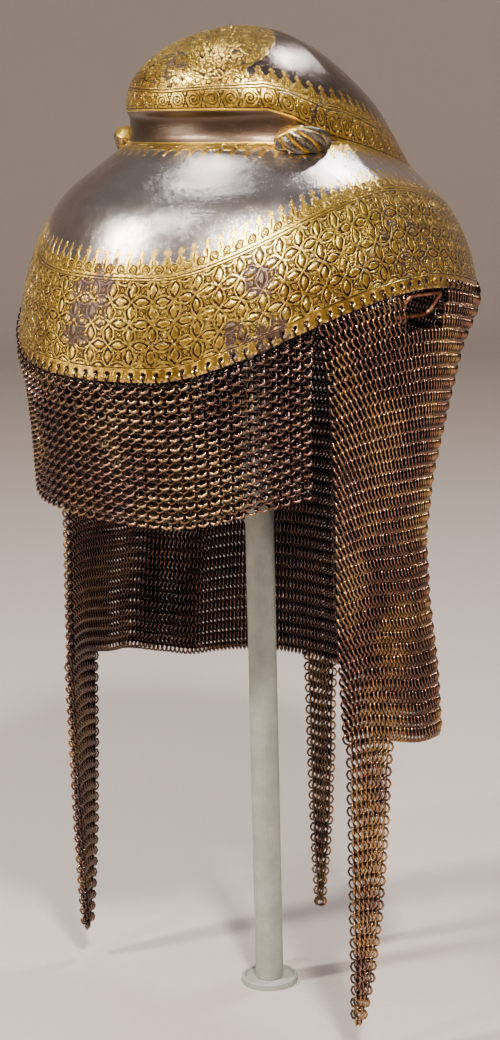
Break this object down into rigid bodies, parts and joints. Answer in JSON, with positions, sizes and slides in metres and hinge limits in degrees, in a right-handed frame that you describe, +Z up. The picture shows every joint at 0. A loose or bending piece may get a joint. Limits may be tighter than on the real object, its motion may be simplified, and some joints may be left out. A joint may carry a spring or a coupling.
{
  "type": "metal helmet with mail on display stand",
  "caption": "Turban-shaped one-piece metal helmet with a folded crown, a mail face panel and a mail neck curtain with long dags, held on a plain post with a round foot.",
  "frame": {"origin": "middle of the underside of the stand's round foot, on the surface that it stands on", "axes": "+Z up along the post, -Y where the helmet faces, +X to the wearer's left"},
  "size_m": [0.2068, 0.2362, 0.4724],
  "materials": {
    "shell_steel": "polished iron, gilt over most of the bowl and the front of the crown",
    "gilt": "worn gilding",
    "mail_steel": "dark brown iron rings",
    "copper": "dull copper wire",
    "stand_paint": "matt grey-green paint"
  },
  "bodies": {
    "root": {"skull": "shell_steel", "leaf_boss_left": "gilt", "leaf_boss_right": "gilt", "rim_rivet_left": "gilt", "rim_rivet_right": "gilt", "face_mail": "mail_steel", "neck_mail": "mail_steel", "ear_frame_left": "copper", "ear_frame_right": "copper", "stand_post": "stand_paint", "stand_base": "stand_paint", "stand_cap": "stand_paint"}
  },
  "joints": []
}
